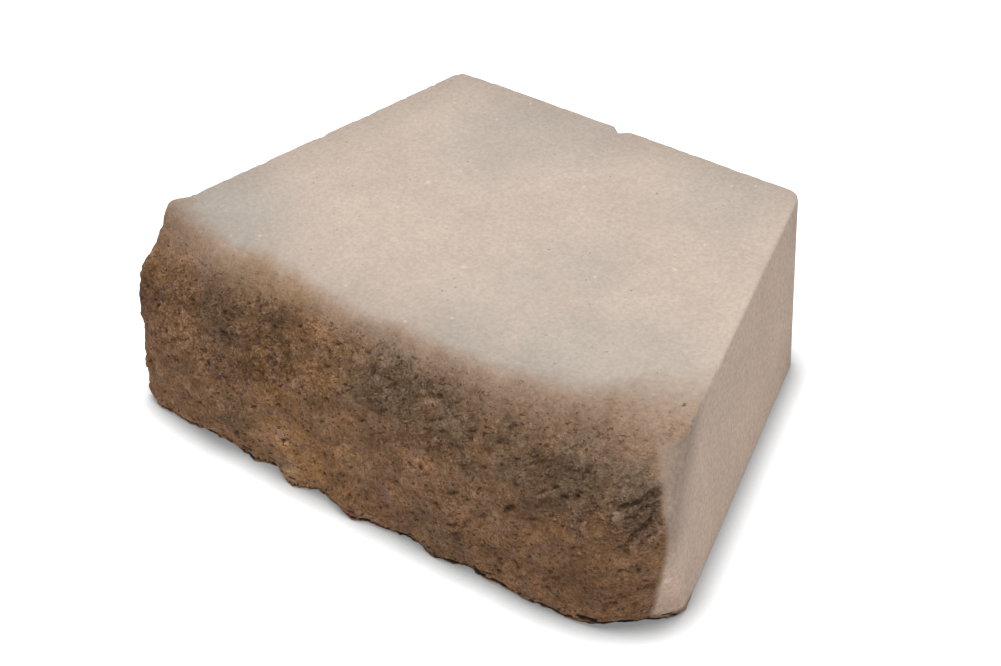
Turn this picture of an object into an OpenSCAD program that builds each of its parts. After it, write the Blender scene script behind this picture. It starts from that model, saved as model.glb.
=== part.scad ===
// Retaining wall block with a split rock face, cast in one piece of dry-mix concrete.
// X runs along the rock face, Y from the rock face to the moulded back, Z up.
// The origin is in the middle of the bed, the flat underside that the block lies on.
// Five sides are moulded flat. The front is broken: blocks are cast face to face and
// split apart, which leaves bare stone with a rolled-back upper edge.

/* [Moulded body] */
// Height of one course, from the bed to the top
course_height = 102; // [75:1:200]
// Length of the block along its rock face
face_length = 307; // [240:1:460]
// Length of the block along its back
back_length = 200; // [120:1:230]
// Depth from the proudest point of the rock face to the back
block_depth = 207; // [150:1:320]
// Radius of the two upright corners at the back
back_corner_radius = 6; // [2:0.5:25]

/* [Splitting notch] */
// Width of the upright notch in the middle of the back
notch_width = 10; // [4:0.5:24]
// Depth of that notch
notch_depth = 4; // [1:0.5:12]

/* [Shape of the rock face] */
// Distance that the face leans back from the bed to the top
face_lean = 6; // [0:1:25]
// Further distance that the rounded shoulder below the top edge stands back
shoulder_set_back = 24; // [0:1:40]
// Height of that shoulder
shoulder_height = 57; // [20:1:75]
// Distance that the bottom edge of the face stands back
foot_set_back = 1; // [0:0.5:15]
// Height of the rounded foot above the bed
foot_height = 8; // [5:1:40]
// Distance that each end of the face stands back
end_set_back = 13; // [0:0.5:30]
// Length over which each end of the face falls away
end_length = 70; // [10:1:90]

/* [Broken lower corner] */
// Depth of the corner that came away at the bed, at the end towards +X
corner_break_depth = 23; // [0:1:60]
// Length of rock face that it took along the bed
corner_break_length = 35; // [10:1:60]
// Height that the break reaches up the end of the face
corner_break_height = 50; // [10:1:75]

/* [Broken stone] */
// Distance between the largest waves of the broken surface
wave_length = 77; // [30:1:120]
// Height of the largest waves, trough to crest
wave_height = 6.5; // [0:0.5:15]
// Height of each smaller size of wave, as a share of the size above it
wave_fade = 0.6; // [0.3:0.05:0.7]
// Number of shell-shaped hollows left where flakes came off
flake_count = 11; // [0:1:24]
// Width of the largest hollow
flake_width = 42; // [20:1:80]
// Depth of the largest hollow
flake_depth = 2.5; // [0:0.5:10]
// Length of the edge of one facet of the broken surface
facet_size = 4; // [3.5:0.5:15]
// Number that picks one broken surface among many
split_seed = 84; // [1:1:99]

/* [Hidden] */
$fn = 64;

// distance that the cutting shapes run on past the body
past = block_depth / 25;
// y of the proudest point of the rock face, and of the back
front_y = -block_depth / 2;
back_y = block_depth / 2;
// the ends of the face lie end_set_back behind front_y, and the sides run straight from them
side_slope = (face_length - back_length) / 2 / (block_depth - end_set_back);
// the moulded body starts in front of the split, and the stone that comes off reaches past it
mould_y = front_y - past;
mould_x = back_length / 2 + side_slope * (back_y - mould_y);
surface_x = mould_x + past;
// wave sizes laid over each other, each half as long as the one before
wave_sizes = 4;
// share of a facet by which its corners are scattered off an even grid
facet_scatter = 0.5;
// facets along and up the broken surface, which reaches past the body on every side
columns = ceil(2 * surface_x / facet_size);
rows = ceil((course_height + 2 * past) / facet_size);
// place of the corner in column i and row j in the list of all corners
function corner_index(i, j) = i * (rows + 1) + j;

function ramp(t) = max(0, t);
function ease(t) = t * t * (3 - 2 * t);
function mix(a, b, t) = a + (b - a) * t;
function sum(list, i = 0) = i < len(list) ? list[i] + sum(list, i + 1) : 0;

// a number from 0 to 1 that looks random and is always the same for the same i, j and k
turn_i = 127.1;
turn_j = 311.7;
turn_k = 74.7;
scatter_scale = 43758.5453;
function fraction(v) = v - floor(v);
function scatter(i, j, k) =
    fraction(sin(i * turn_i + j * turn_j + k * turn_k) * scatter_scale);

// smooth random waves from 0 to 1, with one crest or trough to each unit of u and v
function swell(u, v, k) =
    let (i = floor(u), j = floor(v), a = ease(u - i), b = ease(v - j))
    mix(
        mix(scatter(i, j, k), scatter(i + 1, j, k), a),
        mix(scatter(i, j + 1, k), scatter(i + 1, j + 1, k), a),
        b
    );
function waves(x, z) = sum([
    for (k = [0:wave_sizes - 1])
        let (length = wave_length / pow(2, k))
        wave_height * pow(wave_fade, k) * swell(x / length, z / length, split_seed + k)
]);

// a flake leaves a hollow: its middle on the face, then its radius and depth
smallest_flake = 0.5; // share of the largest one
function flake(n) =
    let (size = mix(smallest_flake, 1, scatter(n, 3, split_seed)))
    [
        (scatter(n, 1, split_seed) - 0.5) * face_length,
        scatter(n, 2, split_seed) * course_height,
        size * flake_width / 2,
        size * flake_depth
    ];
flakes = [for (n = [1:1:flake_count]) flake(n)];
// a hollow is a shallow bowl with a sharp rim
function hollow(x, z, f) =
    f[3] * ramp(1 - (pow(x - f[0], 2) + pow(z - f[1], 2)) / pow(f[2], 2));
function hollows(x, z) = sum([for (f = flakes) hollow(x, z, f)]);

// the even form of the face: it leans back, with a rounded shoulder and foot and two worn ends
function lean(z) = face_lean * z / course_height;
function shoulder(z) =
    shoulder_set_back * pow(ramp(1 - (course_height - z) / shoulder_height), 2);
function foot(z) = foot_set_back * pow(ramp(1 - z / foot_height), 2);
function end_fall(x) =
    end_set_back * pow(ramp(1 - (face_length / 2 - abs(x)) / end_length), 2);
// the broken corner is a slanting plane
function corner_break(x, z) =
    corner_break_depth
        * ramp(1 - (face_length / 2 - x) / corner_break_length - z / corner_break_height);
// distance of the broken surface behind a flat front
function set_back(x, z) =
    lean(z) + shoulder(z) + foot(z) + end_fall(x) + corner_break(x, z) + waves(x, z) + hollows(x, z);

// corners of the facets, column by column, as x, set-back and z
function scattered(i, j, k) = facet_scatter * facet_size * (scatter(i, j, split_seed + k) - 0.5);
facet_corners = [
    for (i = [0:columns], j = [0:rows])
        let (
            x = -surface_x + i * 2 * surface_x / columns + scattered(i, j, 5),
            z = -past + j * (course_height + 2 * past) / rows + scattered(i, j, 6)
        )
        [x, set_back(x, z), z]
];
// the corner that stands proudest of all those on the body comes to lie at front_y
least_set_back = min([
    for (p = facet_corners)
        if (abs(p[0]) < face_length / 2 && p[2] > 0 && p[2] < course_height) p[1]
]);

// outline of the moulded body: a trapezium with two rounded corners at the back
module body_plan() {
    turn = atan(side_slope);
    arc_x = back_length / 2 - back_corner_radius * (1 - sin(turn)) / cos(turn);
    arc_y = back_y - back_corner_radius;
    touch_x = arc_x + back_corner_radius * cos(turn);
    touch_y = arc_y + back_corner_radius * sin(turn);
    polygon([
        [-mould_x, mould_y],
        [mould_x, mould_y],
        [touch_x, touch_y],
        [arc_x, back_y],
        [-arc_x, back_y],
        [-touch_x, touch_y]
    ]);
    for (side = [-1, 1])
        translate([side * arc_x, arc_y])
            circle(r = back_corner_radius);
}

// upright V that lets the block be split in two along its middle
module notch_plan() {
    polygon([
        [0, back_y - notch_depth],
        [notch_width / 2, back_y],
        [notch_width / 2, back_y + past],
        [-notch_width / 2, back_y + past],
        [-notch_width / 2, back_y]
    ]);
}

// the stone in front of the split, down to the broken surface
module split_off() {
    // columns and rows of the edge of the broken surface, once round
    ring = concat(
        [for (i = [0:columns - 1]) [i, 0]],
        [for (j = [0:rows - 1]) [columns, j]],
        [for (i = [columns:-1:1]) [i, rows]],
        [for (j = [rows:-1:1]) [0, j]]
    );
    outer_y = mould_y - past;
    surface = [for (p = facet_corners) [p[0], front_y + p[1] - least_set_back, p[2]]];
    outer = [
        for (n = ring)
            let (p = facet_corners[corner_index(n[0], n[1])])
            [p[0], outer_y, p[2]]
    ];
    middle = [0, outer_y, course_height / 2];
    first_outer = len(surface);
    middle_index = first_outer + len(outer);
    facets = [
        for (i = [0:columns - 1], j = [0:rows - 1])
            let (
                a = corner_index(i, j),
                b = corner_index(i + 1, j),
                c = corner_index(i + 1, j + 1),
                d = corner_index(i, j + 1)
            )
            each (i + j) % 2 == 0 ? [[a, b, c], [a, c, d]] : [[a, b, d], [b, c, d]]
    ];
    walls = [
        for (n = [0:len(ring) - 1])
            let (m = (n + 1) % len(ring))
            [
                corner_index(ring[n][0], ring[n][1]),
                first_outer + n,
                first_outer + m,
                corner_index(ring[m][0], ring[m][1])
            ]
    ];
    outside = [
        for (n = [0:len(ring) - 1])
            [middle_index, first_outer + (n + 1) % len(ring), first_outer + n]
    ];
    polyhedron(concat(surface, outer, [middle]), concat(facets, walls, outside));
}

module wall_block() {
    color([0.62, 0.54, 0.46])
        difference() {
            linear_extrude(course_height)
                difference() {
                    body_plan();
                    notch_plan();
                }
            split_off();
        }
}

wall_block();
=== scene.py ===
import math
import bpy
import numpy as np
from mathutils import Matrix, Vector


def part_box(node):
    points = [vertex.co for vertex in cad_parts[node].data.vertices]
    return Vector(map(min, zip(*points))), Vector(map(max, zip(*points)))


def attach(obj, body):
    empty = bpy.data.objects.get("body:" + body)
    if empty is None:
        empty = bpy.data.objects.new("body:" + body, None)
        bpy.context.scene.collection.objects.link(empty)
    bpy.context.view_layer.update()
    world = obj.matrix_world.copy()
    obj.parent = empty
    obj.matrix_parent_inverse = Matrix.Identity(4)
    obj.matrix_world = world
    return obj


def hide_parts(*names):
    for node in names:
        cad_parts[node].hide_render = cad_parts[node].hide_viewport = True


# A retaining wall block cast in pale concrete, with a brown split rock face.
# Sizes in the dictionaries are millimetres; the meshes are in metres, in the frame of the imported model.
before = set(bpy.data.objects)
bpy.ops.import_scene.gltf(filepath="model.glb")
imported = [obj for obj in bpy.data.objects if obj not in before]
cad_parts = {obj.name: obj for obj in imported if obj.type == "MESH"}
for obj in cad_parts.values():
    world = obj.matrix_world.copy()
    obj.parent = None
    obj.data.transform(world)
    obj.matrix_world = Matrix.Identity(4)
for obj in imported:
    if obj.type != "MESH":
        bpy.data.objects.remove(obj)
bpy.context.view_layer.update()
mm = 0.001
boxLow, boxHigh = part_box("wall_block")
depth, height = (boxHigh.y - boxLow.y) / mm, (boxHigh.z - boxLow.z) / mm
frontY, backY = boxLow.y / mm, boxHigh.y / mm
print("block %.0f deep and %.0f high" % (depth, height))

# the moulded body and the even form of the rock face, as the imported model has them
block = dict(
    faceLength=307, backLength=200, backCornerRadius=6,
    notchWidth=10, notchDepth=4, notchReach=14,
    faceLean=6, shoulderSetBack=24, shoulderHeight=57,
    footSetBack=1, footHeight=8, endSetBack=13, endLength=70,
    cornerBreakDepth=23, cornerBreakLength=35, cornerBreakHeight=50,
    waveLength=77, waveHeight=6.5, waveFade=0.6, waveSizes=4,
    flakeCount=11, flakeWidth=42, flakeDepth=2.5, smallestFlake=0.5, splitSeed=84,
    turns=(127.1, 311.7, 74.7), scatterScale=43758.5453,
)
halfFace, halfBack = block["faceLength"] / 2, block["backLength"] / 2
sideSlope = (halfFace - halfBack) / (depth - block["endSetBack"])


def ramp(t):
    # t, or 0 where t is less
    return np.maximum(0, t)


def smooth(start, end, v):
    # 0 up to the start, 1 from the end on, and an S between them
    t = np.clip((v - start) / (end - start), 0, 1)
    return t * t * (3 - 2 * t)


def scatter(i, j, k):
    # the fraction of a large multiple of a sine: from 0 to 1, and always the same for i, j and k
    turnI, turnJ, turnK = block["turns"]
    v = np.sin(np.radians(i * turnI + j * turnJ + k * turnK)) * block["scatterScale"]
    return v - np.floor(v)


def swell(u, v, k):
    # random heights on whole numbers, joined by S curves along u and v
    i, j = np.floor(u), np.floor(v)
    a, b = smooth(0, 1, u - i), smooth(0, 1, v - j)
    near = scatter(i, j, k) * (1 - a) + scatter(i + 1, j, k) * a
    far = scatter(i, j + 1, k) * (1 - a) + scatter(i + 1, j + 1, k) * a
    return near * (1 - b) + far * b


def setBack(x, z):
    # how far the split surface lies behind a flat front: lean, shoulder, foot, ends and the broken corner,
    # then waves that halve in length and fade in height, then shallow bowls left by flakes
    b = block
    inside = halfFace - np.abs(x)
    back = b["faceLean"] * z / height
    back = back + b["shoulderSetBack"] * ramp(1 - (height - z) / b["shoulderHeight"]) ** 2
    back = back + b["footSetBack"] * ramp(1 - z / b["footHeight"]) ** 2
    back = back + b["endSetBack"] * ramp(1 - inside / b["endLength"]) ** 2
    slant = 1 - (halfFace - x) / b["cornerBreakLength"] - z / b["cornerBreakHeight"]
    back = back + b["cornerBreakDepth"] * ramp(slant)
    for k in range(b["waveSizes"]):
        length = b["waveLength"] / 2 ** k
        back = back + b["waveHeight"] * b["waveFade"] ** k * swell(x / length, z / length, b["splitSeed"] + k)
    for n in range(1, b["flakeCount"] + 1):
        size = b["smallestFlake"] + (1 - b["smallestFlake"]) * scatter(n, 3, b["splitSeed"])
        flakeX = (scatter(n, 1, b["splitSeed"]) - 0.5) * b["faceLength"]
        flakeZ = scatter(n, 2, b["splitSeed"]) * height
        radius = size * b["flakeWidth"] / 2
        away = ((x - flakeX) ** 2 + (z - flakeZ) ** 2) / radius ** 2
        back = back + size * b["flakeDepth"] * ramp(1 - away)
    return back


# The net holds places on a straight box, which is later bent into the block.
# All its counts go in fours, because it thins out twice on its way to the back.
netLines = dict(
    columns=400, rows=132,          # the rock face
    fineEnd=8, fineLength=2,        # closer lines at each end of a row and a column
    notchColumns=8,                 # on each side of the middle
    nearRings=12, nearLength=10,    # rings round the block behind the face
    farRings=86, endRings=12, endLength=12,
)


def knots(places, counts):
    # lines spaced evenly from one place to the next, so many in each stretch
    ends = np.concatenate([[0], np.cumsum(counts)])
    return np.interp(np.arange(ends[-1] + 1), ends, places)


def outline(columns, rows, first=0):
    # the corners round the edge of a grid, once round: along the bed, up, back and down
    i, j = np.arange(columns), np.arange(rows)
    ring = np.concatenate([
        i * (rows + 1), columns * (rows + 1) + j,
        (columns - i) * (rows + 1) + rows, rows - j,
    ])
    return ring + first


def gridFaces(columns, rows, first, towardsBack):
    # one square for each cell of a grid whose corners count up the rows first
    i, j = np.meshgrid(np.arange(columns), np.arange(rows), indexing="ij")
    a = (i * (rows + 1) + j + first).ravel()
    right, up = rows + 1, 1
    corners = [a, a + right, a + up + right, a + up]
    if towardsBack:
        corners = [a, a + up, a + up + right, a + right]
    return np.stack(corners, 1)


def gridPoints(x, z, y):
    # the corners of a grid that stands at the depth y, counted up the rows first
    gridX, gridZ = np.meshgrid(x, z, indexing="ij")
    return np.stack([gridX.ravel(), np.full(gridX.size, y), gridZ.ravel()], 1)


def ringFaces(front, back):
    # squares between two rings of as many points
    return np.stack([np.roll(front, -1), front, back, np.roll(back, -1)], 1)


def thinningFaces(front, back):
    # triangles between a ring and one behind it with half as many points: three to each coarse step
    f0, f1, f2 = front[0::2], front[1::2], np.roll(front, -2)[0::2]
    c0, c1 = back, np.roll(back, -1)
    return np.concatenate([np.stack(t, 1) for t in ((f1, f0, c0), (f1, c0, c1), (f2, f1, c1))])


def buildNet():
    # the face as a fine grid, rings round the body that thin out twice, and the back as a coarse grid;
    # each face also gets the number of its wall: 0 rock face, 1 bed, 2 end towards +X, 3 top,
    # 4 end towards -X, 5 back
    n = netLines
    columns, rows = n["columns"], n["rows"]
    notch = block["notchWidth"] / 2 * (halfFace - keptBand) / (halfBack - keptBand)
    side = (columns - 2 * n["fineEnd"] - 2 * n["notchColumns"]) // 2
    xs = knots(
        [-halfFace, -halfFace + n["fineLength"], -notch, 0, notch, halfFace - n["fineLength"], halfFace],
        [n["fineEnd"], side, n["notchColumns"], n["notchColumns"], side, n["fineEnd"]],
    )
    zs = knots(
        [0, n["fineLength"], height - n["fineLength"], height],
        [n["fineEnd"], rows - 2 * n["fineEnd"], n["fineEnd"]],
    )
    ys = knots(
        [0, n["nearLength"], depth - n["endLength"], depth],
        [n["nearRings"], n["farRings"], n["endRings"]],
    )
    face = gridPoints(xs, zs, 0)
    back = gridPoints(xs[::4], zs[::4], depth)
    faceRing = outline(columns, rows)
    points, squares, triangles = [face], [gridFaces(columns, rows, 0, False)], []
    count, previous = len(face), faceRing
    wall = np.repeat([1, 2, 3, 4], [columns, rows, columns, rows])
    squareWalls, triangleWalls = [np.zeros(len(squares[0]), int)], []
    for k in range(1, len(ys) - 1):
        step = 2 if k <= n["nearRings"] else 4
        ring = face[faceRing[::step]].copy()
        ring[:, 1] = ys[k]
        index = count + np.arange(len(ring))
        points.append(ring)
        count += len(ring)
        if len(index) == len(previous):
            squares.append(ringFaces(previous, index))
            squareWalls.append(wall[::step])
        else:
            triangles.append(thinningFaces(previous, index))
            triangleWalls.append(np.tile(wall[::step], 3))
        previous = index
    backFaces = gridFaces(columns // 4, rows // 4, count, True)
    squares += [ringFaces(previous, outline(columns // 4, rows // 4, count)), backFaces]
    squareWalls += [wall[::4], np.full(len(backFaces), 5)]
    points.append(back)
    return (np.concatenate(points), np.concatenate(squares), np.concatenate(triangles),
            np.concatenate(squareWalls), np.concatenate(triangleWalls))


keptBand = 15    # this much of each end keeps its breadth, and the middle takes up the taper
edges = dict(arris=1.3, faceTop=3, faceLeftEnd=2, faceRightEnd=5, faceBed=0.7)    # radii
bendTurns = 7


def roundOff(a, b, radius):
    # a and b are depths inside two walls that meet square: the corner between them becomes a quarter circle
    da, db = np.clip(radius - a, 0, radius), np.clip(radius - b, 0, radius)
    share = 1 - np.maximum(da, db) / np.maximum(np.hypot(da, db), 1e-9)
    return a + da * share, b + db * share


def roundArris(inEnd, inBack, inLevel):
    # rounds the edge between the top or the bed and the walls round it
    r = edges["arris"]
    dEnd, dBack, dLevel = (np.clip(r - v, 0, r) for v in (inEnd, inBack, inLevel))
    dWall = np.maximum(dEnd, dBack)
    share = 1 - np.maximum(dWall, dLevel) / np.maximum(np.hypot(dWall, dLevel), 1e-9)
    return inEnd + dEnd * share, inBack + dBack * share, inLevel + dLevel * share


def bend(net):
    # rounds the edges of the straight box, then moves each point back by the rock face's set-back and in by
    # the taper; the two depend on each other, so they are found together in a few turns
    x, y, z = net.T
    inEnd, inBack, inTop = roundArris(halfFace - np.abs(x), depth - y, height - z)
    inEnd, inBack, inBed = roundArris(inEnd, inBack, height - inTop)
    inTop = height - inBed
    inEnd, inBack = roundOff(inEnd, inBack, block["backCornerRadius"])
    inFront, inTop = roundOff(depth - inBack, inTop, edges["faceTop"])
    inFront, inEnd = roundOff(inFront, inEnd, np.where(x > 0, edges["faceRightEnd"], edges["faceLeftEnd"]))
    inFront, inBed = roundOff(inFront, np.minimum(inBed, height - inTop), edges["faceBed"])
    z = inBed
    y, x = inFront, np.sign(x) * (halfFace - inEnd)
    inner = halfFace - keptBand
    place = x
    for turn in range(bendTurns):
        behind = setBack(place, z)
        # at last the proudest point of the face itself comes to lie at the front
        least = behind.min() if turn < bendTurns - 1 else behind[net[:, 1] == 0].min()
        there = frontY + y + (behind - least) * (1 - y / depth)
        half = halfBack + sideSlope * (backY - there)
        place = np.where(
            np.abs(x) <= inner,
            x * (half - keptBand) / inner,
            np.sign(x) * (half - (halfFace - np.abs(x))),
        )
    across = ramp(1 - np.abs(place) / (block["notchWidth"] / 2))
    there = there - block["notchDepth"] * across * ramp(1 - (depth - y) / block["notchReach"])
    return np.stack([place, there, z], 1)


def normalsOf(points, squares, triangles):
    # the sum of the area vectors of the faces round each point, made one long
    total = np.zeros_like(points)
    for faces in (squares, triangles):
        corners = points[faces]
        if faces.shape[1] == 4:
            area = np.cross(corners[:, 2] - corners[:, 0], corners[:, 3] - corners[:, 1])
        else:
            area = np.cross(corners[:, 1] - corners[:, 0], corners[:, 2] - corners[:, 0])
        for k in range(faces.shape[1]):
            for axis in range(3):
                total[:, axis] += np.bincount(faces[:, k], area[:, axis], len(points))
    return total / np.maximum(np.linalg.norm(total, axis=1, keepdims=True), 1e-12)


# Random patterns in space, worked out as whole arrays
hashing = dict(axes=(374761393, 668265263, 1440662683), seed=1274126177, mixers=(1103515245, 2246822519),
               shifts=(13, 15), lastShift=16, most=0xffffffff)


def hashed(cell, seed):
    # the whole numbers of a cell mixed bit by bit into a number from 0 to 1
    h, most = hashing, hashing["most"]
    n = (cell @ np.array(h["axes"]) + seed * h["seed"]) & most
    n = n.astype(np.uint64)
    for shift, mixer in zip(h["shifts"], h["mixers"]):
        n = ((n ^ (n >> np.uint64(shift))) * np.uint64(mixer)) & np.uint64(most)
    return (n ^ (n >> np.uint64(h["lastShift"]))).astype(float) / most


def noise(p, size, seed):
    # random heights from 0 to 1 on the corners of cubes of this size, joined by S curves
    q = p / size
    cell = np.floor(q).astype(np.int64)
    share = smooth(0, 1, q - cell)
    total = 0
    for corner in np.ndindex(2, 2, 2):
        weight = np.where(np.array(corner), share, 1 - share).prod(1)
        total = total + weight * hashed(cell + np.array(corner), seed)
    return total


def layered(p, size, count, seed, fall=0.5):
    # noises of half the size and a smaller weight on each other, from -1 to 1
    total, most = 0, 0
    for k in range(count):
        total = total + fall ** k * (2 * noise(p, size / 2 ** k, seed + k) - 1)
        most += fall ** k
    return total / most


def nearestSeed(p, size, seed):
    # one seed point in each cube of this size: the distance to the nearest one, and its own number, 0 to 1
    q = p / size
    cell = np.floor(q).astype(np.int64)
    nearest, number = np.full(len(p), np.inf), np.zeros(len(p))
    for step in np.ndindex(3, 3, 3):
        other = cell + np.array(step) - 1
        spot = other + np.stack([hashed(other, seed + k) for k in range(3)], 1)
        away = np.linalg.norm(q - spot, axis=1)
        closer = away < nearest
        nearest = np.where(closer, away, nearest)
        number = np.where(closer, hashed(other, seed + 3), number)
    return nearest * size, number


def turned(p, angle):
    # the same places measured along and across a line that rises towards +X by this many degrees
    c, d = math.cos(math.radians(angle)), math.sin(math.radians(angle))
    return np.stack([p[:, 0] * c + p[:, 2] * d, p[:, 1], p[:, 2] * c - p[:, 0] * d], 1)


def alongX(p):
    # the places with their depths and heights left out, for noises that only change along the face
    return np.stack([p[:, 0], p[:, 0] * 0, p[:, 0] * 0], 1)


# the noises that shape and colour the block: (size, how many on each other, seed, share of each next one)
noises = dict(
    lumps=(11, 4, 11, 0.55), folds=(8, 2, 31, 0.6), holes=(6, 3, 61), pits=(2.6, 2, 71), often=(38, 2, 57),
    markRim=(2.6, 3, 171, 0.75), gouge=(8, 2, 65), furrows=(6.5, 4, 143, 0.65),
    skinEdge=(14, 4, 81, 0.6), sideEdge=(9, 3, 91), footCrumbs=(5, 3, 93), wallEdge=(6, 2, 95),
    creviceSway=(5, 2, 161), creviceThickness=(3, 2, 163), lift=(7, 3, 121, 0.7), liftWave=(12, 3, 125),
    skinWave=(22, 3, 101), chips=(4, 3, 111),
    stoneSpots=(16, 4, 131, 0.6), greyStone=(30, 3, 141), coolSpots=(45, 4, 151, 0.6),
)


def wavy(p, name):
    # one of the noises at these places, from -1 to 1
    return layered(p, *noises[name])


# the broken stone, from hand-sized lumps down to single grains; a level is how far a noise dips for a hole, and
# a pair is the start and the end of a change
stone = dict(
    lumpHeight=2.2, creaseHeight=0.7, creaseSharpness=1.6, creaseRise=0.35,
    grainSize=2.2, grainHeight=0.5, grainSeed=41, swaySize=6, sway=1.5, swaySeed=51,
    grainTurn=24, grainStretch=(0.6, 1, 1.2), holeLevel=0.56, holeDepth=9, pitLevel=0.40, pitDepth=4.0,
    deepest=1.7, often=0.12, upperHoles=0.03, upperBand=((50, 66), (100, 88)), markRim=1.1, markSpread=0.8,
    gougeX=136, gougeZ=76, gougeRadius=22, gougeDepth=0.8, gougeTurn=45, gougeBowl=0.35, gougeSway=3,
    gougeTallness=0.8, furrowStretch=(0.4, 1.3), furrowLevel=0.05, furrowDepth=2, furrowFade=0.6,
    furrowDark=0.8,
    creviceDepth=0.6, earReach=3.5, earRadius=10, shareFade=1.5,
    skinHeight=0.15, chipDepth=0.8, chipReach=2.5, leftChips=1.8, leftEnd=(-60, -100), lobeReach=14,
)

# single marks in the face: (x, height, half its length, half its width, slant in degrees, depth)
marks = [
    (79.6, 53.2, 3.4, 1.6, 45, 2.2), (113.3, 82.4, 3.0, 1.6, 70, 1.4), (105.4, 68.8, 2.8, 1.1, 10, 1.6),
    (114, 54.2, 2.4, 0.8, 25, 1.2), (89.4, 50.6, 4.4, 0.7, 22, 1.1), (89.8, 77.8, 8.5, 0.8, 25, 1.0),
    (95.2, 67.9, 3.8, 0.8, 40, 1.0), (133, 73, 5, 1.7, 30, 2.0), (141, 78.6, 5.5, 2.4, 38, 1.8),
    (139, 72.5, 4.5, 1.1, 30, 1.4), (141.5, 66.5, 6, 1.5, 58, 1.5), (136, 57.5, 5.5, 1.6, 64, 1.6),
    (143, 60, 4, 0.9, 50, 1.1), (145, 81, 4, 1.8, 20, 1.2), (134.8, 86, 3.4, 0.9, 36, 1.1),
    (132.5, 52.5, 2.4, 0.9, 20, 1.4), (36, 94.9, 4.2, 0.7, 0, 1.1), (41.6, 96.8, 2.3, 0.7, 45, 1.1),
    (27.2, 82.5, 7.5, 0.7, 15, 1.1), (34.2, 85, 1.4, 1.3, 0, 2.2), (19.9, 87, 1.8, 1.0, 50, 1.8),
    (-1.1, 83.3, 1.8, 1.0, 80, 1.6), (9.4, 80.7, 1.5, 1.1, 20, 1.6), (73.5, 86.6, 2.6, 0.9, 25, 1.6),
    (56.2, 76.9, 1.6, 1.5, 0, 1.2), (45.2, 67.9, 1.8, 0.9, 20, 1.4), (30.6, 50.9, 1.9, 1.2, 90, 1.6),
    (23.5, 59.3, 1.3, 1.0, 0, 1.6), (9.2, 61.9, 1.3, 1.0, 0, 1.6), (81.5, 65.5, 1.7, 1.1, 30, 1.6),
    (-130.1, 52.7, 1.5, 1.2, 0, 1.8), (-134, 49.3, 1.3, 1.1, 0, 1.6), (-85.6, 53.6, 1.6, 1.3, 0, 2.0),
    (-98.9, 50.4, 1.4, 1.1, 0, 1.7), (-145.5, 68.4, 1.6, 1.2, 0, 1.7), (-92.1, 77.2, 1.8, 1.1, 0, 1.4),
    (-63.7, 79.1, 1.6, 1.3, 0, 1.7), (-70.5, 86.8, 1.3, 1.0, 0, 1.6), (-73.4, 84.7, 1.3, 1.0, 0, 1.6),
    (-69.1, 93.1, 3.2, 0.7, -10, 1.1), (-52.8, 69.3, 3.2, 2.2, 30, 1.1), (-69.2, 72.8, 2.8, 2, 0, 1.0),
    (-28.8, 83, 3.6, 0.8, -20, 1.4), (-23.7, 62.7, 1.6, 1.3, 0, 1.7),
]


def stoneRelief(p):
    # lumps, folded creases and single grains, less the holes where a slower noise dips below a level;
    # the second value is the depth of the holes alone, with the furrows, and sets how dark they are painted as
    # shade
    s = stone
    lumps = s["lumpHeight"] * wavy(p, "lumps")
    folds = np.abs(wavy(p, "folds")) * s["creaseSharpness"]
    creases = s["creaseHeight"] * (s["creaseRise"] - folds)
    away, number = nearestSeed(p, s["grainSize"], s["grainSeed"])
    grains = s["grainHeight"] * (number - 0.5) * ramp(1 - away / s["grainSize"])
    sway = np.stack([layered(p, s["swaySize"], 2, s["swaySeed"] + axis) for axis in range(3)], 1)
    warped = turned(p + s["sway"] * sway, s["grainTurn"]) * np.array(s["grainStretch"])
    below, above = s["upperBand"]
    upper = smooth(*below, p[:, 2]) * smooth(*above, p[:, 2])
    often = s["often"] * wavy(p, "often") + s["upperHoles"] * upper
    holes = s["holeDepth"] * ramp(-wavy(warped, "holes") - s["holeLevel"] + often)
    pits = s["pitDepth"] * ramp(-wavy(warped, "pits") - s["pitLevel"] + often)
    deep = s["deepest"] * np.tanh((holes + pits + markDepth(p)) / s["deepest"])
    bowl, furrows = gouges(p)
    return lumps + creases + grains - deep - bowl - furrows, deep + s["furrowDark"] * furrows


def markDepth(p):
    # each mark is a shallow lens, and a noise pushes its rim in and out
    s = stone
    rim = wavy(p, "markRim")
    total = np.zeros(len(p))
    for x, z, long, wide, slant, deep in marks:
        away = turned(p - np.array([x, 0, z]), slant)
        near = (away[:, 0] / long) ** 2 + (away[:, 2] / wide) ** 2
        lens = ramp(1 - near * (1 + s["markRim"] * rim) + s["markSpread"] * rim)
        total = np.maximum(total, deep * np.sqrt(lens))
    return total


def gouges(p):
    # a scraped hollow near one end: a shallow bowl, and the slanting furrows that cross it
    s = stone
    turn = math.radians(s["gougeTurn"])
    across = p[:, 0] - s["gougeX"] + s["gougeSway"] * wavy(p, "gouge")
    up = p[:, 2] - s["gougeZ"]
    bowl = ramp(1 - (across ** 2 + (up * s["gougeTallness"]) ** 2) / s["gougeRadius"] ** 2)
    along = across * math.cos(turn) + up * math.sin(turn)
    over = up * math.cos(turn) - across * math.sin(turn)
    drawnLong, drawnClose = s["furrowStretch"]
    furrows = wavy(np.stack([along * drawnLong, 0 * along, over * drawnClose], 1), "furrows")
    furrows = bowl ** s["furrowFade"] * ramp(s["furrowLevel"] - furrows) * s["furrowDepth"]
    return s["gougeBowl"] * s["gougeDepth"] * bowl, s["gougeDepth"] * furrows


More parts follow.
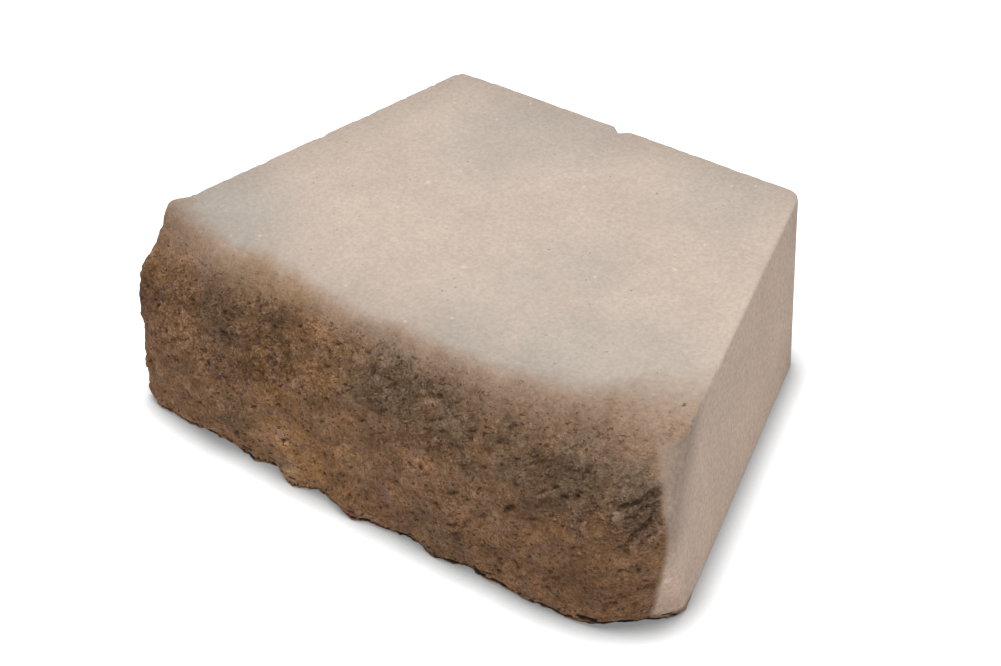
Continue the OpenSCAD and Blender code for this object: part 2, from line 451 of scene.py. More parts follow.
# where the pale moulded skin gives way to bare brown stone: how far above the face's upper edge the change
# begins and how far below it ends, at places along the face; then the skin that runs round the end towards +X
skin = dict(
    place=[-153, -130, -100, -76, -55, -30, 20, 38, 60, 92, 112, 145],
    above=[30, 16, 9, 13, 10, 7, 6, 8, 12, 22, 54, 82],
    below=[28, 25, 23, 23, 21, 16, 17, 14, 22, 22, 34, 60],
    ragged=3.5, soft=0.5, sideEdge=2.2, sideSoft=2.5, sideRagged=1.6, cornerEdge=10, cornerHeight=55,
    upperEdge=6, upperStart=(58, 94), upperEnd=(95, 101), pastEdge=3, upperSoft=1.2, softStart=(70, 90),
    footShare=0.6, footHeight=(6.5, 3.5), footRagged=3, footReach=(22, 10),
    wallReach=5, wallRagged=4, topReach=(-8, 2),
)


def stoneShare(net, p):
    # 0 on the moulded skin and 1 on broken stone, with a soft ragged band between them
    s = skin
    x, z = p[:, 0], p[:, 2]
    face = net[:, 1] == 0
    top = (net[:, 2] == height) & ~face
    rightEnd = (net[:, 0] == halfFace) & ~face
    # down the face from its upper edge, or back along the top, where it counts as less than 0
    down = np.where(face, height - net[:, 2], -net[:, 1])
    ragged = s["ragged"] * wavy(p, "skinEdge")
    above, below = np.interp(x, s["place"], s["above"]), np.interp(x, s["place"], s["below"])
    upper = np.clip((down + ragged + above) / (above + below), 0, 1)
    upper = (1 - s["soft"]) * upper + s["soft"] * smooth(0, 1, upper)
    # the skin on the end of the face is wide at the foot and near the top, and gone at the upper edge
    edge = s["sideEdge"] + s["cornerEdge"] * ramp(1 - z / s["cornerHeight"])
    edge = edge + s["upperEdge"] * smooth(*s["upperStart"], z)
    edge = edge - (s["sideEdge"] + s["upperEdge"] + s["pastEdge"]) * smooth(*s["upperEnd"], z)
    soft = s["sideSoft"] * (1 + s["upperSoft"] * smooth(*s["softStart"], z))
    inside = halfFace - net[:, 0] + s["sideRagged"] * wavy(p, "sideEdge")
    side = smooth(0, 1, (inside - edge) / (2 * soft) + 0.5)
    # bare crumbs all along the foot
    low = s["footShare"] * smooth(*s["footHeight"], net[:, 2] + s["footRagged"] * wavy(p, "footCrumbs"))
    side = np.maximum(side, low)
    walls = smooth(s["wallReach"], 0, net[:, 1] + s["wallRagged"] * wavy(p, "wallEdge"))
    walls = np.where(rightEnd, low * smooth(*s["footReach"], net[:, 1]), walls)
    return np.where(face, upper * side, np.where(top, upper * smooth(*s["topReach"], inside), walls))


# where the face stands a few millimetres out of the even form or behind it: (x, height, radius, outwards)
lobes = [
    (-154, 104, 8, 4), (-130, 0, 12, 2), (-50, 0, 12, 3), (-18, 0, 14, 4), (40, 0, 16, 2.5), (62, 0, 8, 2),
    (117, 0, 14, 2), (138, 0, 12, 2), (-149, 86, 12, -2), (-151, 77, 8, 3), (129.5, 67, 5, 1.2),
    (-145, 3, 12, 3),
]
# where the lower edge of the face is broken clear of the ground: (x, half its length, height)
undercuts = [(-100, 5, 0.6), (53, 6, 0.8), (66, 6, 0.8), (116, 7, 0.6), (131, 8, 0.6)]
# crevices along the foot, carved shallow and painted near black as shade: (x where it begins, x where it ends,
# height of its middle, half its thickness)
crevices = [
    (-113, -102, 2.2, 1.6), (-82, -76, 1.5, 0.9), (-68, -62, 1.5, 0.9), (-8, -2, 1.5, 1.1),
    (4, 9, 1.4, 0.9), (13, 22, 1.8, 1.5), (36, 39, 1.3, 1.0), (42, 50, 2.0, 1.6),
    (56, 64, 2.4, 1.7), (67, 76, 2.4, 1.8), (92, 112, 1.8, 1.3), (111, 122, 4.6, 1.1),
    (119, 135, 2.0, 2.2), (129, 143, 1.8, 1.2),
]
# how much the crevices and the lifted edge vary along the face, and how far back they reach
foot = dict(
    creviceSway=0.5, creviceSwell=0.5, creviceRim=(1.3, 0.8), thinnest=0.05, creviceReach=1.5,
    liftShare=0.75, liftSwell=0.6, liftWave=0.5, liftReach=5, liftFade=1.2,
)


def lobed(p):
    # the sum of the lobes, each a bowl or a boss that fades out from its middle to its rim
    total = np.zeros(len(p))
    for x, z, radius, outwards in lobes:
        total += outwards * ramp(1 - ((p[:, 0] - x) ** 2 + (p[:, 2] - z) ** 2) / radius ** 2)
    return total


def creviceShare(net, p):
    # 1 inside a crevice and 0 outside: a lens along the foot whose middle and thickness a noise pushes about;
    #                                   it carves the crevice and sets its painted shade
    f, along = foot, alongX(p)
    sway = f["creviceSway"] * wavy(along, "creviceSway")
    thicker = 1 + f["creviceSwell"] * wavy(along, "creviceThickness")
    most = np.zeros(len(p))
    for start, end, level, half in crevices:
        middle, reach = (start + end) / 2, (end - start) / 2
        thick = half * thicker * np.sqrt(ramp(1 - ((p[:, 0] - middle) / reach) ** 2))
        away = np.abs(p[:, 2] - level - sway) / np.maximum(thick, f["thinnest"])
        most = np.maximum(most, smooth(*f["creviceRim"], away))
    return np.where(net[:, 1] < f["creviceReach"], most, 0)


def raiseFoot(net, p):
    # the lower edge of the face lifted over each undercut, fading towards its ends, upwards and inwards
    f, along = foot, alongX(p)
    lift = np.zeros(len(p))
    for x, half, rise in undercuts:
        lift = np.maximum(lift, rise * np.sqrt(ramp(1 - np.abs(p[:, 0] - x) / half)))
    lift = lift * (f["liftShare"] + f["liftSwell"] * wavy(along, "lift"))
    lift = lift + f["liftWave"] * ramp(wavy(along, "liftWave"))
    away = np.hypot(net[:, 1], net[:, 2])
    return np.where(net[:, 2] < height / 2, lift * ramp(1 - away / f["liftReach"]) ** f["liftFade"], 0)


# where the sheet that carries the colours has room for each wall: (across, up, scale), in a square this wide;
# the rock face is laid out at twice the scale of the rest
sheet = dict(
    width=630,
    walls=[(5, 5, 2.0), (5, 219, 1.0), (255, 436, 0.8), (317, 219, 1.0), (425, 436, 0.8), (5, 436, 0.8)],
)


def charts(net, squares, triangles, squareWalls, triangleWalls):
    # each wall laid out flat: ends by their depth and height, the bed and the top by x and depth, the rest by
    # x and height
    placed = []
    for faces, walls in ((squares, squareWalls), (triangles, triangleWalls)):
        corners = net[faces]
        u = np.where(np.isin(walls, (2, 4))[:, None], corners[:, :, 1], corners[:, :, 0] + halfFace)
        v = np.where(np.isin(walls, (1, 3))[:, None], corners[:, :, 1], corners[:, :, 2])
        place = np.array(sheet["walls"])[walls]
        u = (place[:, 0:1] + u * place[:, 2:3]) / sheet["width"]
        v = (place[:, 1:2] + v * place[:, 2:3]) / sheet["width"]
        placed.append(np.stack([u, v], 2).reshape(-1, 2))
    return np.concatenate(placed)


def makeMesh(name, points, squares, triangles, uv):
    # a smooth mesh of squares and triangles with its own map, at the origin
    mesh = bpy.data.meshes.new(name)
    mesh.from_pydata((points * mm).tolist(), [], squares.tolist() + triangles.tolist())
    layer = mesh.uv_layers.new(name="OFBake")
    layer.data.foreach_set("uv", uv.astype(np.float32).ravel())
    mesh.polygons.foreach_set("use_smooth", np.ones(len(mesh.polygons), bool))
    mesh.update()
    piece = bpy.data.objects.new(name, mesh)
    bpy.context.collection.objects.link(piece)
    return piece


netPoints, squares, triangles, squareWalls, triangleWalls = buildNet()
even = bend(netPoints)
evenX, evenY, evenZ = even.T
netX, netY, netZ = netPoints.T
onFace = netY == 0
share = stoneShare(netPoints, even)
creviceAndShade = creviceShare(netPoints, even)


def shapeBlock():
    # relief on the stone and slow waves on the skin, pushed out along the normals, less the chips; then the
    # lobes, the raised foot and the corner; the second value is the depth of the holes
    s = stone
    relief, hollows = stoneRelief(even)
    relief = relief - relief[onFace].mean() - s["creviceDepth"] * creviceAndShade
    wave = s["skinHeight"] * wavy(even, "skinWave")
    # an arris lies in two walls at once, so the second smallest depth tells how near it is
    inset = np.sort(np.stack([halfFace - np.abs(netX), np.minimum(netZ, height - netZ),
                              np.minimum(netY, depth - netY)], 1), axis=1)[:, 1]
    chips = s["chipDepth"] * (1 + s["leftChips"] * smooth(*s["leftEnd"], evenX))
    chips = chips * ramp(wavy(even, "chips")) * ramp(1 - inset / s["chipReach"])
    rough = share ** s["shareFade"]
    outwards = rough * relief + (1 - rough) * wave - chips
    points = even + normalsOf(even, squares, triangles) * outwards[:, None]
    points[:, 1] -= lobed(even) * smooth(s["lobeReach"], 0, netY)
    points[:, 2] += raiseFoot(netPoints, even)
    # the upper corner towards -X stands out sideways as well
    fromCorner = np.linalg.norm(netPoints - np.array([-halfFace, 0, height]), axis=1)
    points[:, 0] -= s["earReach"] * ramp(1 - (fromCorner / s["earRadius"]) ** 2)
    # the bed stays flat on the ground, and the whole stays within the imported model's height and depth
    onBed = (netZ == 0) & (netY > foot["liftReach"])
    points[:, 2] = np.where(onBed, 0, np.clip(points[:, 2], 0, height))
    points[:, 1] = np.minimum(points[:, 1], backY)
    return points, hollows


points, hollows = shapeBlock()
wallBlock = makeMesh("wallBlock", points, squares, triangles,
                     charts(netPoints, squares, triangles, squareWalls, triangleWalls))

# soft spots of other colours in the stone, as (x, height, radius, strength): greyer, redder, darker or
# lighter, worn to a rougher look, and a paler or darker tan; last the cooler clouds on the top, by x and depth
greyStone = [
    (14, 82, 24, 1.0), (44, 83, 22, 1.0), (78, 76, 24, 0.9), (108, 78, 20, 1.0), (134, 78, 18, 0.9),
    (-18, 86, 16, 0.5), (-92, 80, 26, 0.6), (-85, 24, 18, 0.6), (35, 18, 18, 0.6), (60, 60, 22, 0.5),
    (-4, 74, 18, 0.8), (4, 58, 16, 0.5), (-30, 48, 14, 0.4), (-76, 4, 16, 0.5), (-52, 6, 12, 0.5),
]
rustyStone = [
    (-45, 26, 34, 0.75), (-58, 64, 24, 1.0), (-26, 76, 16, 0.9), (-66, 84, 18, 0.9), (-68, 8, 22, 0.8),
    (-118, 62, 18, 0.4), (-64, 100, 42, 1.0), (10, 40, 22, 0.3), (95, 40, 22, 0.3), (-138, 78, 14, 0.4),
]
toneStone = [
    (-145, 66, 16, -0.22), (-145, 46, 18, -0.10), (-120, 70, 18, -0.06), (-85, 54, 16, -0.20),
    (-62, 70, 18, -0.20), (-95, 86, 16, -0.24), (6, 80, 18, -0.22), (98, 62, 22, -0.15),
    (-146, 86, 10, 0.14), (-108, 42, 15, -0.16), (-65, 24, 13, -0.14), (-25, 77, 12, 0.16),
    (75, 64, 14, -0.10), (95, 24, 14, -0.14), (75, 40, 12, -0.12), (6, 60, 14, 0.04),
    (118, 24, 22, -0.16), (120, 70, 16, -0.18), (138, 74, 13, -0.10), (129.5, 68, 5, 0.2),
    (48, 16, 20, -0.16), (-46, 24, 28, 0.42), (112, 88, 16, -0.20), (-62, 8, 20, 0.36),
    (-12, 34, 24, 0.26), (30, 60, 20, 0.10), (60, 44, 16, 0.12), (-82, 24, 16, 0.16),
]
wornStone = [
    (-120, 66, 34, 0.7), (-85, 62, 30, 1.0), (-60, 70, 28, 1.0), (-30, 72, 24, 0.5), (14, 80, 26, 0.7),
    (50, 72, 24, 0.4), (105, 72, 26, 0.6), (60, 30, 40, 0.3), (-100, 30, 30, 0.3), (136, 70, 20, 0.9),
]
tanTone = [(138, 98, 24, 0.14), (140, 101, 16, 0.09), (-131, 99, 14, -0.18)]
coolTop = [
    (-40, 68, 40, 0.7), (-12, 84, 34, 0.6), (48, 2, 28, 0.6), (34, -22, 24, 0.5), (36, -60, 34, 0.7),
    (70, -50, 36, 0.8), (104, -40, 34, 0.7), (64, 80, 36, 0.5), (-116, -54, 36, 0.9),
]


# how far the colours reach, in millimetres: a pair is the start and the end of a change
reach = dict(
    spotRim=0.35, topSpotRim=0.5, spotEdge=(1.25, 0.25), greyLevel=0.1, coolOnFace=(45, 10), faceSkin=(4, 22),
    # after the rim: the height, depth, fade and start along x of the painted shade round the upper end towards
    # +X
    rim=42, rimFade=1.4, endShadeHeight=(38, 62), endShadeDepth=38, endShadeFade=1.4, endShadeFrom=100,
    # darkHole is the depth at which a hole is painted darkest as shade
    warmLength=(120, 180), warmHeight=(60, 15), warmDepth=(20, 2), darkHole=1.6,
)


def spots(across, up, places, rim):
    # several soft round spots, whose rims a noise pushes in and out: the strongest of them, and their sum
    most, total = np.zeros(len(across)), np.zeros(len(across))
    for x, y, radius, strength in places:
        away = np.hypot(across - x, up - y) / radius + rim
        spot = strength * smooth(*reach["spotEdge"], away)
        most, total = np.maximum(most, spot), total + spot
    return most, total


def paintedValues():
    # a number from 0 to 1 for each point and each way in which the colour changes over the block
    r = reach
    stoneRim = r["spotRim"] * wavy(even, "stoneSpots")
    grey = spots(evenX, evenZ, greyStone, stoneRim)[0] + ramp(wavy(even, "greyStone") - r["greyLevel"])
    cool = spots(evenX, evenY, coolTop, r["topSpotRim"] * wavy(even, "coolSpots"))[0]
    cool = np.where(onFace, cool * smooth(*r["coolOnFace"], height - netZ), cool)
    # darker towards the arrises at the back and at the end towards -X
    insets = np.stack([halfFace + netX, np.minimum(netZ, height - netZ), np.minimum(netY, depth - netY)], 1)
    # painted shade on the skin round the upper part of the end towards +X, near the face, and warm skin at its
    # lower corner
    paintedEndShade = smooth(*r["endShadeHeight"], netZ) * ramp(1 - netY / r["endShadeDepth"]) ** r["endShadeFade"]
    warmCorner = smooth(*r["warmLength"], evenX) * smooth(*r["warmHeight"], evenZ)
    return dict(
        # on this line, the crevices and the depth of the holes, both painted dark as shade
        stone=share, creviceAndShade=creviceAndShade, hollow=np.clip(hollows / r["darkHole"], 0, 1) * share,
        upright=np.where((netZ > 0) & (netZ < height), 1, 0),
        onFace=np.where(onFace, smooth(*r["faceSkin"], height - netZ), 0),
        grey=np.clip(grey, 0, 1),
        rusty=spots(evenX, evenZ, rustyStone, stoneRim)[0],
        dimmed=spots(evenX, evenZ, toneStone, stoneRim)[1],
        worn=spots(evenX, evenZ, wornStone, stoneRim)[0],
        tanTone=spots(evenX, evenZ, tanTone, stoneRim)[1],
        cool=np.where((netZ == height) | onFace, cool, 0),
        rim=ramp(1 - np.sort(insets, axis=1)[:, 1] / r["rim"]) ** r["rimFade"],
        paintedEndShade=np.where((netZ < height) & (netX > r["endShadeFrom"]), paintedEndShade, 0),
        warmCorner=warmCorner * smooth(*r["warmDepth"], netY),
    )


paintedOn = paintedValues()
for name, values in paintedOn.items():
    attribute = wallBlock.data.attributes.new(name, "FLOAT", "POINT")
    attribute.data.foreach_set("value", values.astype(np.float32))
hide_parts("wall_block")
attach(wallBlock, "root")
print("block meshed: %d triangles" % (2 * len(squares) + len(triangles)))


def tone(red, green, blue):
    # a colour as seen, 0 to 255, turned into the linear values that shaders use
    seen = np.array([red, green, blue]) / 255
    return (*np.where(seen <= 0.04045, seen / 12.92, ((seen + 0.055) / 1.055) ** 2.4), 1)


def treeOf(*values):
    # the node tree of the first of these values that comes from a node
    return next(value.id_data for value in values if isinstance(value, bpy.types.NodeSocket))


def fill(socket, value):
    # a socket gets a value, or a link from another node's output
    if isinstance(value, bpy.types.NodeSocket):
        socket.id_data.links.new(value, socket)
    else:
        socket.default_value = value


def put(tree, kind, inputs, **settings):
    # a node of this kind, with its inputs filled
    made = tree.nodes.new(kind)
    for name, value in settings.items():
        setattr(made, name, value)
    for name, value in inputs.items():
        fill(made.inputs[name], value)
    return made


def figure(operation, *values):
    # arithmetic on two numbers
    made = treeOf(*values).nodes.new("ShaderNodeMath")
    made.operation = operation
    for socket, value in zip(made.inputs, values):
        fill(socket, value)
    return made.outputs[0]


def times(first, *others):
    # the product of several numbers
    for other in others:
        first = figure("MULTIPLY", first, other)
    return first


def plus(first, second):
    # first + second
    return figure("ADD", first, second)


def minus(first, second):
    # first - second
    return figure("SUBTRACT", first, second)


def blend(factor, first, second, kind="MIX"):
    # the first colour, and the second one by the factor
    made = treeOf(factor, first, second).nodes.new("ShaderNodeMix")
    made.data_type, made.blend_type = "RGBA", kind
    for slot, value in ((0, factor), (6, first), (7, second)):
        fill(made.inputs[slot], value)
    return made.outputs[2]


def stretch(value, start, end, lowest=0.0, highest=1.0):
    # a value from the start to the end becomes one from the lowest to the highest, along an S
    made = put(value.id_data, "ShaderNodeMapRange", {
        "Value": value, "From Min": start, "From Max": end, "To Min": lowest, "To Max": highest,
    }, interpolation_type="SMOOTHSTEP")
    return made.outputs["Result"]


def grain(place, size, detail=2, rough=0.5):
    # noise whose features are this many millimetres across
    made = put(place.id_data, "ShaderNodeTexNoise", {
        "Vector": place, "Scale": 1 / (size * mm), "Detail": detail, "Roughness": rough})
    return made.outputs["Fac"]


def cellsOf(place, size):
    # cells this many millimetres across, each with its own number and the distance to its middle
    inputs = {"Vector": place, "Scale": 1 / (size * mm)}
    return put(place.id_data, "ShaderNodeTexVoronoi", inputs, feature="F1").outputs


def shade(colour, value, red=1.0, blue=1.0):
    # the colour made darker or lighter by a number, raised to a power of its own in red and in blue: with a
    # low power in red and a high one in blue, light grains come out greyer and dark ones browner
    parts = {"Green": value}
    for name, power in (("Red", red), ("Blue", blue)):
        parts[name] = figure("POWER", value, power)
    factors = put(value.id_data, "ShaderNodeCombineColor", parts).outputs[0]
    return blend(1.0, colour, factors, "MULTIPLY")


def nearestOf(place, dots):
    # distance to the rim of the nearest of these dots, less than 0 inside it
    nearest = 1.0
    for x, y, z, radius in dots:
        middle = (x * mm, y * mm, z * mm)
        away = put(place.id_data, "ShaderNodeVectorMath", {0: place, 1: middle}, operation="DISTANCE")
        nearest = figure("MINIMUM", nearest, minus(away.outputs["Value"], radius * mm))
    return nearest


# the colours of the holes, the crevices and the skin's pinholes, and the darker skin round the upper end
# towards +X, are painted shade
paint = dict(
    skinWarm=tone(212, 194, 179), skinCool=tone(195, 184, 172), skinLight=tone(230, 213, 198),
    skinSide=tone(216, 193, 175), skinEnd=tone(214, 188, 169), skinEndShade=tone(179, 157, 141),
    skinCorner=tone(234, 201, 181), skinPinholeShade=tone(140, 124, 110), skinPebble=tone(238, 214, 200),
    tan=tone(168, 142, 121), tanWarm=tone(172, 140, 110), brown=tone(148, 110, 78), rust=tone(148, 108, 69),
    pinkish=tone(146, 111, 87), grey=tone(125, 100, 76), fleck=tone(202, 176, 154),
    hole=tone(48, 30, 19), creviceAndShade=tone(20, 13, 9), roughness=0.92, specular=0.3,
)
# noises in the colour: (size, detail, roughness, start, end, lowest, highest), where the noise from the start
# to the end becomes a factor or a share from the lowest to the highest
patterns = dict(
    skinDrift=(34, 3, 0.5, 0.3, 0.7, 0.965, 1.035),
    skinClouds=(5, 3, 0.6, 0.3, 0.7, 0.982, 1.018),
    skinSpeckle=(1.9, 4, 0.7, 0.28, 0.72, 0.905, 1.095),
    pinkishStone=(11, 3, 0.5, 0.5, 0.66, 0.0, 0.8),
    stoneSpeckle=(1.3, 3, 0.7, 0.28, 0.72, 0.72, 1.28),
    stoneGrains=(3.2, 2, 0.5, 0.3, 0.7, 0.82, 1.18),
    stoneBlotches=(8, 4, 0.6, 0.3, 0.7, 0.72, 1.28),
    stoneClouds=(20, 2, 0.5, 0.35, 0.65, 0.88, 1.12),
    crumbs=(1.6, 3, 0.7, 0.36, 0.6, 0.3, 1.1),
)
# cells, grains and bumps in millimetres, and how strongly each thing shows; a rim, width or share is the start
# and the end of a change, and a tint is the power in red and in blue
finish = dict(
    fleckCell=6.5, fleckRim=(0.19, 0.05), fleckShare=(0.55, 0.8), fleckOnSkin=0.8, fleckOnStone=0.45,
    # pinholes on the skin: painted darker as shade, and bumped in
    holeCell=4.5, holeRim=(0.13, 0.05), holeShare=(0.6, 0.85), holeOnSkin=0.6, holeBump=0.8,
    pebbleRim=(0.4, -1.0), pebbleOnSkin=0.85, pebbleOnStone=0.35, topHoleRim=(0.5, -0.5), topHoleDark=0.65,
    rimGrain=(2, 3), rimSway=4, rimShade=0.85, sideSpeckle=0.8, wornSpeckle=0.5,
    levelStretch=(1.5, 1, 0.9), speckleTint=(0.75, 1.38), blotchTint=(0.95, 1.1), tanTint=(0.8, 1.25),
    grainCell=1.1, grainTone=(0.15, 0.85, 0.87, 1.13), grainBump=0.3,
    pitGrain=2.1, pitWorn=0.035, pitRim=(0.37, 0.28), pitDark=0.7, pitBump=0.4,
    # thin cracks in the stone, painted dark as shade
    crackGrain=2.5, crackWidth=(0.075, 0.015), crackPatch=4, crackShare=(0.55, 0.66), crackWorn=0.12, crackDark=0.6,
    darkOnStone=(0.3, 0.85), darkOnTan=(0.0, 0.18, 1.0, 0.4),
    edgeGrain=(7, 5, 0.7), edgeSway=0.4, skinToTan=(0.0, 0.55), tanToStone=(0.4, 1.0), tanSpeckle=0.35,
    skinGrain=(1.8, 4, 0.65), skinBump=0.3, stoneGrain=(1.5, 3, 0.65), stoneBump=1.3,
)
noiseMiddle = 0.5
# single light pebbles that show in the surface, and holes in the top painted dark as shade: (x, y, z, radius)
pebbles = [
    (-53, 16, 102, 1.5), (2, -27, 102, 1.3), (12, 53, 102, 1.2), (83, 23, 102, 1.2), (148.3, -83, 32.7, 2.4),
    (129.4, -91.7, 67.1, 2.6), (86, -102, 18.7, 1.6), (81.5, -101.7, 28.5, 1.1), (-5.3, -101, 26, 1.2),
    (66, -88, 86.6, 1.4),
]
topHoles = [(136, -51.2, 102, 0.9), (133.2, -58.2, 102, 0.7)]


def castConcrete():
    # pale cast skin with cool clouds, and brown stone with greyer patches, pits painted dark as shade and a few
    # light grains
    p, f = paint, finish
    material = bpy.data.materials.new("castConcrete")
    material.use_nodes = True
    tree = material.node_tree
    shader = tree.nodes["Principled BSDF"]
    place = tree.nodes.new("ShaderNodeTexCoord").outputs["Object"]
    onMesh = {name: put(tree, "ShaderNodeAttribute", {}, attribute_name=name).outputs["Fac"]
              for name in paintedOn}
    # the stone's blotches and veins lie along a line that rises towards +X
    level = put(tree, "ShaderNodeMapping", {
        "Vector": place, "Rotation": (0, -math.radians(stone["grainTurn"]), 0), "Scale": f["levelStretch"],
    }, vector_type="TEXTURE").outputs[0]

    def pattern(name, where=place):
        # one of the patterns, as a factor or a share
        return stretch(grain(where, *patterns[name][:3]), *patterns[name][3:])

    def waver(*noiseOf):
        # noise that wavers about 0
        return minus(grain(place, *noiseOf), noiseMiddle)

    def dots(kind):
        # flecks or pinholes, one to a cell where the cell's own number is high
        cells = cellsOf(place, f[kind + "Cell"])
        spot = stretch(cells["Distance"], *f[kind + "Rim"])
        return times(spot, stretch(cells["Color"], *f[kind + "Share"]))

    fleckMask, holeMask = dots("fleck"), dots("hole")
    # the single pebbles and holes, each with a rim that wavers
    dotRim = times(waver(*f["rimGrain"]), f["rimSway"] * mm)
    pebbleMask, topHoleMask = (
        stretch(plus(nearestOf(place, places), dotRim), *(v * mm for v in f[rim]))
        for places, rim in ((pebbles, "pebbleRim"), (topHoles, "topHoleRim")))

    # the skin: its tone from wall to wall with painted shade round the upper end towards +X, then speckle,
    # light flecks, pebbles and pinholes painted darker as shade
    skinColour = blend(onMesh["cool"], p["skinWarm"], p["skinCool"])
    for name, over in (("upright", "skinSide"), ("onFace", "skinEnd"), ("paintedEndShade", "skinEndShade"),
                       ("warmCorner", "skinCorner")):
        skinColour = blend(onMesh[name], skinColour, p[over])
    sideSpeckle = plus(1.0, times(onMesh["upright"], f["sideSpeckle"]))
    speckle = figure("POWER", pattern("skinSpeckle"), sideSpeckle)
    rimShade = stretch(onMesh["rim"], 0.0, 1.0, 1.0, f["rimShade"])
    mottle = times(pattern("skinDrift"), pattern("skinClouds"), speckle, rimShade)
    skinColour = shade(skinColour, mottle)
    # light flecks and pebbles, and pinholes painted darker as shade
    for mask, most, over in (
            (fleckMask, "fleckOnSkin", "skinLight"), (pebbleMask, "pebbleOnSkin", "skinPebble"),
            (holeMask, "holeOnSkin", "skinPinholeShade")):
        skinColour = blend(times(mask, f[most]), skinColour, p[over])

    # the stone: redder, pinkish and greyer patches, then fine speckle and coarse blotches
    stoneColour = blend(onMesh["rusty"], p["brown"], p["rust"])
    stoneColour = blend(pattern("pinkishStone"), stoneColour, p["pinkish"])
    stoneColour = blend(onMesh["grey"], stoneColour, p["grey"])
    grains = cellsOf(place, f["grainCell"])
    speckle = times(pattern("stoneSpeckle"), stretch(grains["Color"], *f["grainTone"]),
                    pattern("stoneGrains"))
    wornSpeckle = plus(1.0, times(onMesh["worn"], f["wornSpeckle"]))
    speckle = figure("POWER", speckle, wornSpeckle)
    lighter = plus(onMesh["tanTone"], 1.0)
    blotches = times(pattern("stoneBlotches", level), pattern("stoneClouds", level))
    blotches = times(blotches, plus(onMesh["dimmed"], lighter))
    stoneColour = shade(stoneColour, speckle, *f["speckleTint"])
    stoneColour = shade(stoneColour, blotches, *f["blotchTint"])
    for mask, most in ((fleckMask, "fleckOnStone"), (pebbleMask, "pebbleOnStone")):
        stoneColour = blend(times(mask, f[most]), stoneColour, p["fleck"])

    # painted shade in the pits, in thin cracks where a noise crosses its middle, and in the holes of the mesh
    pits = minus(grain(level, f["pitGrain"]), times(onMesh["worn"], f["pitWorn"]))
    pitMask = stretch(pits, *f["pitRim"])
    # thin cracks, painted dark as the shade inside them
    cracks = figure("ABSOLUTE", minus(grain(level, f["crackGrain"]), noiseMiddle))
    cracked = plus(grain(level, f["crackPatch"]), times(onMesh["worn"], f["crackWorn"]))
    crackShade = times(stretch(cracks, *f["crackWidth"]), stretch(cracked, *f["crackShare"]))
    dark = figure("MAXIMUM", times(pitMask, f["pitDark"]),
                  times(onMesh["hollow"], pattern("crumbs", level)))
    dark = figure("MAXIMUM", dark, times(crackShade, f["crackDark"]))
    dark = times(dark, stretch(onMesh["stone"], *f["darkOnStone"]),
                 stretch(onMesh["tanTone"], *f["darkOnTan"]))

    # from skin through a tan band to stone, with a ragged edge, and the painted shade of pits, holes and
    # crevices over all
    bare = plus(onMesh["stone"], times(waver(*f["edgeGrain"]), f["edgeSway"]))
    tanColour = blend(onMesh["rusty"], p["tan"], p["tanWarm"])
    tanShade = plus(1 - f["tanSpeckle"], times(speckle, f["tanSpeckle"]))
    tanColour = shade(tanColour, times(tanShade, lighter), *f["tanTint"])
    bandColour = blend(stretch(bare, *f["skinToTan"]), skinColour, tanColour)
    colour = blend(stretch(bare, *f["tanToStone"]), bandColour, stoneColour)
    colour = blend(dark, colour, p["hole"])
    # the crevices painted near black as shade
    colour = blend(onMesh["creviceAndShade"], colour, p["creviceAndShade"])
    # holes in the top painted dark as shade
    colour = blend(times(topHoleMask, f["topHoleDark"]), colour, p["hole"])
    tree.links.new(colour, shader.inputs["Base Color"])
    shader.inputs["Roughness"].default_value = p["roughness"]
    shader.inputs["Specular IOR Level"].default_value = p["specular"]

    # fine relief under a millimetre: grain and pinholes on the skin, and rougher grains and pits on the stone
    skinHeight = minus(grain(place, *f["skinGrain"]), times(holeMask, f["holeBump"]))
    skinRelief = put(tree, "ShaderNodeBump", {
        "Strength": 1.0, "Distance": f["skinBump"] * mm, "Height": skinHeight}).outputs["Normal"]
    rough = minus(grain(place, *f["stoneGrain"]), times(pitMask, f["pitBump"]))
    rough = minus(rough, times(grains["Distance"], f["grainBump"]))
    bump = put(tree, "ShaderNodeBump", {
        "Strength": 1.0, "Distance": f["stoneBump"] * mm, "Height": times(rough, bare),
        "Normal": skinRelief})
    tree.links.new(bump.outputs["Normal"], shader.inputs["Normal"])
    return material


wallBlock.data.materials.append(castConcrete())
print("concrete painted")


# sizes in metres; the shadow deepens where the block stands closer to the floor than the contact reach
studio = dict(
    floorSize=8.0, floorTone=0.85, floorGlow=1.0, floorShare=0.5,
    contactReach=0.019, contactFrom=0.45, contactShade=0.22,
    skyLight=0.45, lampSize=0.8, lampHeight=1.5, lampPower=11.5, lampPlace=(0.1, -0.2),
)


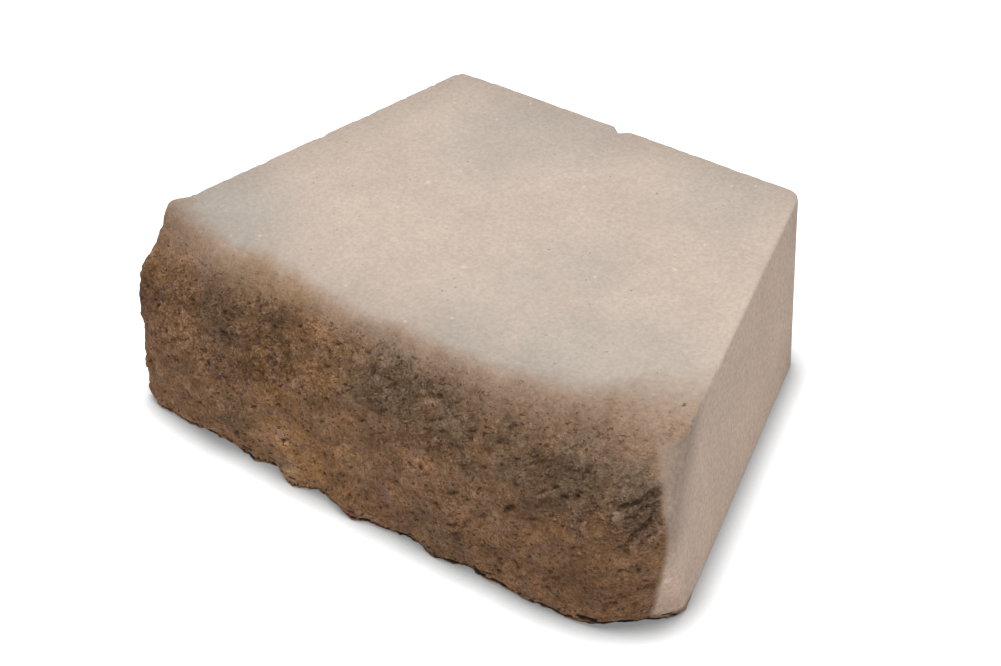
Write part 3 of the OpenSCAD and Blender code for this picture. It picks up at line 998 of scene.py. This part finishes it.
def makeFloor():
    # pale floor that looks white from the camera and keeps the block's shadow
    s = studio
    half = s["floorSize"] / 2
    mesh = bpy.data.meshes.new("floor")
    corners = [(-half, -half, 0), (half, -half, 0), (half, half, 0), (-half, half, 0)]
    mesh.from_pydata(corners, [], [(0, 1, 2, 3)])
    floor = bpy.data.objects.new("floor", mesh)
    bpy.context.collection.objects.link(floor)
    material = bpy.data.materials.new("paleFloor")
    material.use_nodes = True
    tree = material.node_tree
    tree.nodes.clear()
    plain = put(tree, "ShaderNodeBsdfDiffuse", {"Color": (s["floorTone"],) * 3 + (1,)}).outputs[0]
    near = put(tree, "ShaderNodeAmbientOcclusion", {"Distance": s["contactReach"]}, samples=8).outputs["AO"]
    level = put(tree, "ShaderNodeMapRange", {
        "Value": near, "From Min": s["contactFrom"], "From Max": 1.0,
        "To Min": s["contactShade"], "To Max": 1.0}).outputs[0]
    lit = put(tree, "ShaderNodeBsdfDiffuse", {"Color": times(level, s["floorShare"])}).outputs[0]
    glow = put(tree, "ShaderNodeEmission", {"Color": level, "Strength": s["floorGlow"]}).outputs[0]
    seen = put(tree, "ShaderNodeAddShader", {0: lit, 1: glow}).outputs[0]
    ray = tree.nodes.new("ShaderNodeLightPath").outputs["Is Camera Ray"]
    mixed = put(tree, "ShaderNodeMixShader", {0: ray, 1: plain, 2: seen}).outputs[0]
    put(tree, "ShaderNodeOutputMaterial", {"Surface": mixed})
    mesh.materials.append(material)


def makeLight():
    # an even pale sky that looks white behind the block, and one large soft lamp overhead
    s = studio
    world = bpy.data.worlds.new("studio")
    bpy.context.scene.world = world
    world.use_nodes = True
    tree = world.node_tree
    tree.nodes.clear()
    paths = tree.nodes.new("ShaderNodeLightPath").outputs
    seen = figure("MAXIMUM", paths["Is Camera Ray"],
                  figure("MAXIMUM", paths["Is Glossy Ray"], paths["Is Transmission Ray"]))
    strength = plus(times(seen, 1 - s["skyLight"]), s["skyLight"])
    sky = put(tree, "ShaderNodeBackground", {"Color": (1, 1, 1, 1), "Strength": strength})
    put(tree, "ShaderNodeOutputWorld", {"Surface": sky.outputs[0]})
    lamp = bpy.data.lights.new("overhead", "AREA")
    lamp.shape, lamp.size, lamp.energy = "DISK", s["lampSize"], s["lampPower"]
    holder = bpy.data.objects.new("overhead", lamp)
    holder.location = (*s["lampPlace"], s["lampHeight"])
    holder.visible_camera = False
    bpy.context.collection.objects.link(holder)


# angles in degrees, distance and aim in metres, lens and sensor in millimetres
view = dict(around=39.436, up=39.325, roll=-4.086, distance=0.97334, lens=74.177, sensor=36,
            aim=(0.004405, -0.007305, 0.051), clip=(0.01, 50))


def makeCamera():
    # the camera stands off from the aim by the distance, turned round Z and raised, then rolled a little
    around, up, roll = (math.radians(view[k]) for k in ("around", "up", "roll"))
    back = Vector((math.sin(around) * math.cos(up), -math.cos(around) * math.cos(up), math.sin(up)))
    right = Vector((0, 0, 1)).cross(back).normalized()
    above = back.cross(right)
    tiltedRight = math.cos(roll) * right + math.sin(roll) * above
    tiltedUp = math.cos(roll) * above - math.sin(roll) * right
    camera = bpy.data.objects.new("camera", bpy.data.cameras.new("camera"))
    camera.data.lens, camera.data.sensor_width = view["lens"], view["sensor"]
    camera.data.clip_start, camera.data.clip_end = view["clip"]
    turn = Matrix((tiltedRight, tiltedUp, back)).transposed().to_4x4()
    camera.matrix_world = Matrix.Translation(Vector(view["aim"]) + back * view["distance"]) @ turn
    bpy.context.collection.objects.link(camera)
    bpy.context.scene.camera = camera


makeFloor()
makeLight()
makeCamera()
bpy.context.scene.view_settings.view_transform = "Standard"
print("studio set")
